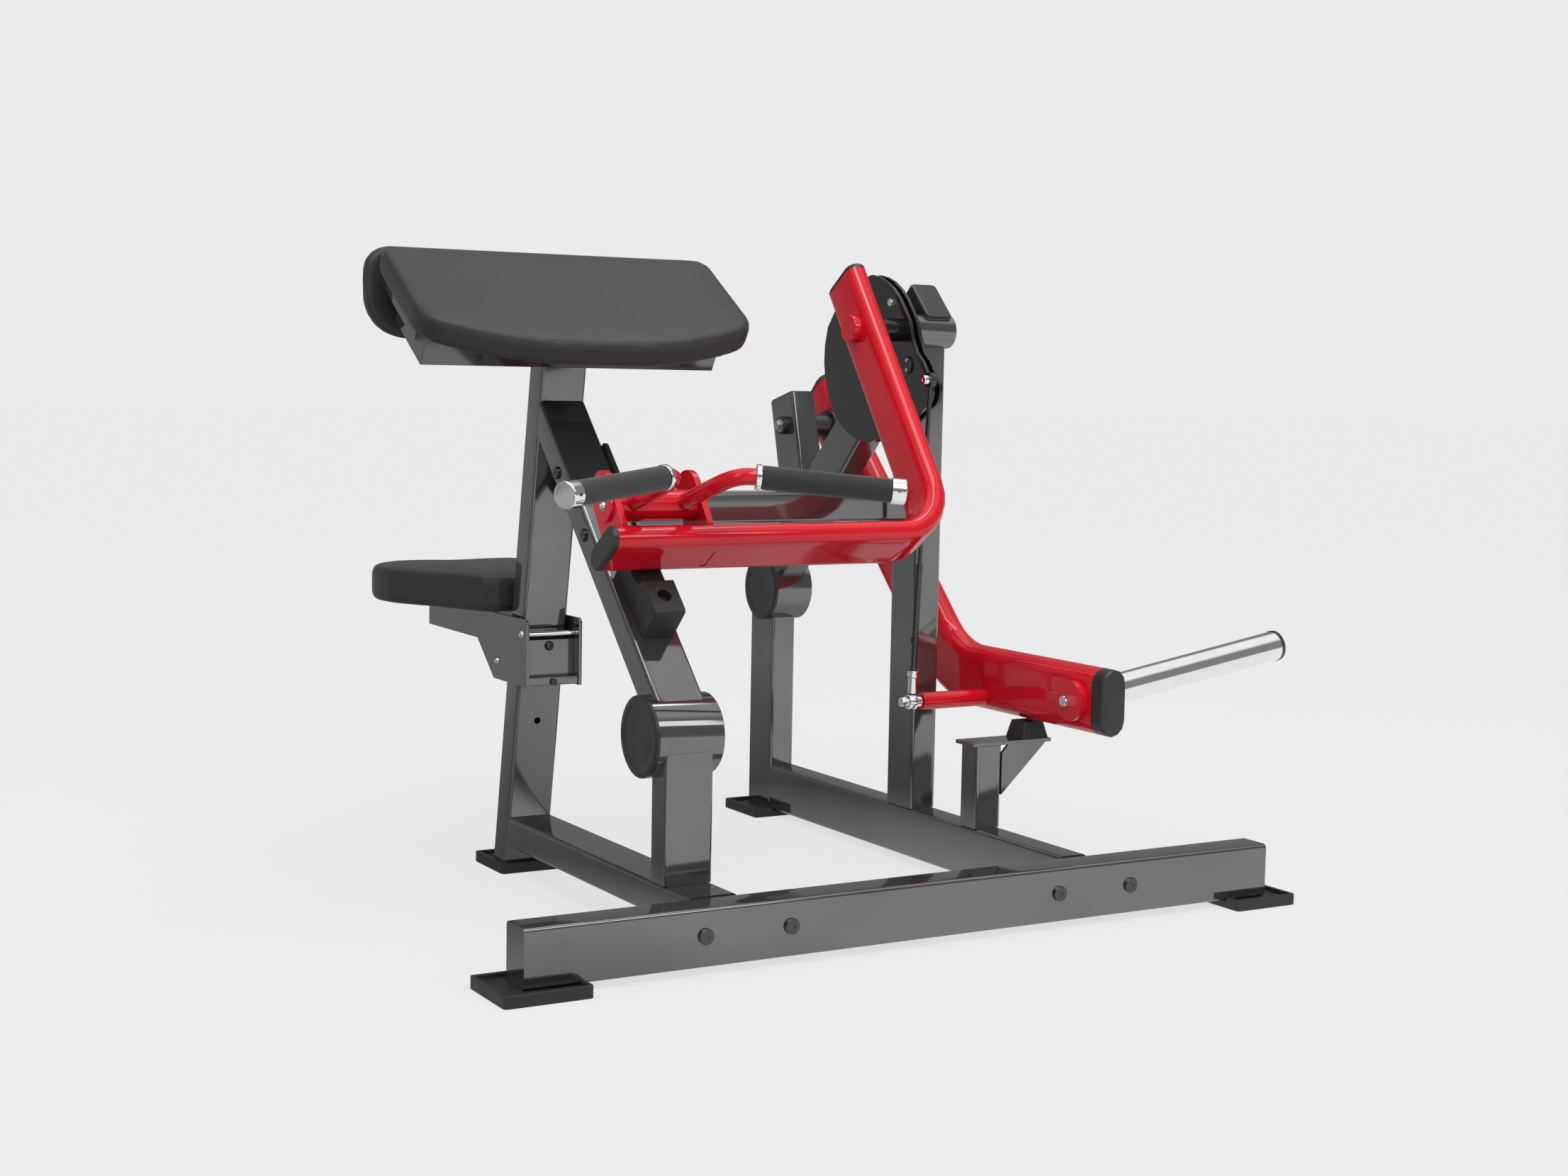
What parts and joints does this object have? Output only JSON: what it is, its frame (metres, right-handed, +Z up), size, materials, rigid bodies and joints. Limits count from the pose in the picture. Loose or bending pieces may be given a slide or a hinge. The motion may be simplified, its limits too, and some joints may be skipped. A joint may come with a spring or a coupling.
{
  "type": "plate-loaded preacher curl machine",
  "caption": "Plate-loaded seated arm-curl machine: a sloping arm pad and sliding seat on a steel frame, and a swing arm with grips that lifts a weight lever through a link rod",
  "frame": {"origin": "centre of the bounding box, on the floor", "axes": "+Z up; +X to the right seen from the machine's front, along the front beam; +Y from the front beam to the seat, so the member faces -Y"},
  "size_m": [1.4872, 1.11, 1.016],
  "materials": {
    "grey_paint": "gloss dark grey powder coat",
    "red_paint": "gloss red powder coat",
    "black_plate": "gloss black paint",
    "black_plastic": "moulded satin",
    "rubber": "matt",
    "chrome": "polished",
    "steel": "turned and zinc plated",
    "vinyl": "fine-grained vinyl over foam"
  },
  "bodies": {
    "frame": {"front_beam": "grey_paint", "left_side_beam": "grey_paint", "right_side_beam": "grey_paint", "left_flange": "grey_paint", "right_flange": "grey_paint", "foot_front_left": "rubber", "foot_front_right": "rubber", "foot_rear_left": "rubber", "foot_rear_right": "rubber", "seat_post": "grey_paint", "seat_rack": "grey_paint", "left_brace": "grey_paint", "left_front_post": "grey_paint", "left_joint_tube": "grey_paint", "left_joint_cap": "black_plastic", "brace_bumper": "rubber", "cross_member": "grey_paint", "pad_board": "grey_paint", "pad_tray": "grey_paint", "preacher_pad": "vinyl", "chest_pad": "vinyl", "rear_post": "grey_paint", "right_joint_tube": "grey_paint", "right_joint_cap": "black_plastic", "right_brace": "grey_paint", "pivot_post": "grey_paint", "tall_post": "grey_paint", "bearing_barrel": "grey_paint", "stop_post": "grey_paint", "stop_bracket": "grey_paint", "stop_bumper": "rubber", "weight_pivot_pin": "steel"},
    "exercise_arm": {"arm_tube": "red_paint", "arm_top_cap": "black_plastic", "arm_bar_cap": "black_plastic", "arm_shaft": "red_paint", "cam_plate_left": "black_plate", "cam_plate_right": "black_plate", "link_pin": "chrome", "handle_ear_left": "red_paint", "handle_ear_right": "red_paint", "handle_pin": "steel"},
    "handle_bar": {"handle_frame": "red_paint", "grip_left": "rubber", "grip_right": "rubber"},
    "weight_arm": {"weight_arm_tube": "red_paint", "weight_front_cap": "black_plastic", "weight_rear_cap": "black_plastic", "plate_horn": "chrome", "horn_cap": "black_plastic", "horn_boss": "red_paint", "link_peg": "red_paint"},
    "link": {"link_rod": "steel", "link_ball_end": "steel"},
    "seat_carriage": {"seat_plate_left": "grey_paint", "seat_plate_right": "grey_paint", "seat_front_rod": "chrome", "seat_rear_rod": "chrome", "seat_lock_plate": "grey_paint", "seat_pad": "vinyl"}
  },
  "joints": [
    {"name": "arm_swing", "type": "hinge", "parent": "frame", "child": "exercise_arm", "pos_m": [0.11343, -0.027, 0.906], "axis": [-1, 0, 0], "range_deg": [0, 100]},
    {"name": "weight_arm_lift", "type": "hinge", "parent": "frame", "child": "weight_arm", "pos_m": [0.34293, 0.412, 0.737], "axis": [-1, 0, 0], "range_deg": [0, 22]},
    {"name": "link_swing", "type": "hinge", "parent": "exercise_arm", "child": "link", "pos_m": [0.17343, -0.137, 0.824], "axis": [-1, 0, 0], "range_deg": [-81, 0]},
    {"name": "handle_swivel", "type": "hinge", "parent": "exercise_arm", "child": "handle_bar", "pos_m": [-0.37437, -0.22882, 0.63166], "axis": [-1, 0, 0], "range_deg": [-12, 60]},
    {"name": "seat_slide", "type": "slide", "parent": "frame", "child": "seat_carriage", "axis": [0, -0.165, 0.9863], "range_m": [-0.1, 0.16]}
  ],
  "couplings": [
    {"joint": "weight_arm_lift", "follows": "arm_swing", "ratio": 0.218},
    {"joint": "link_swing", "follows": "arm_swing", "ratio": -0.808}
  ]
}
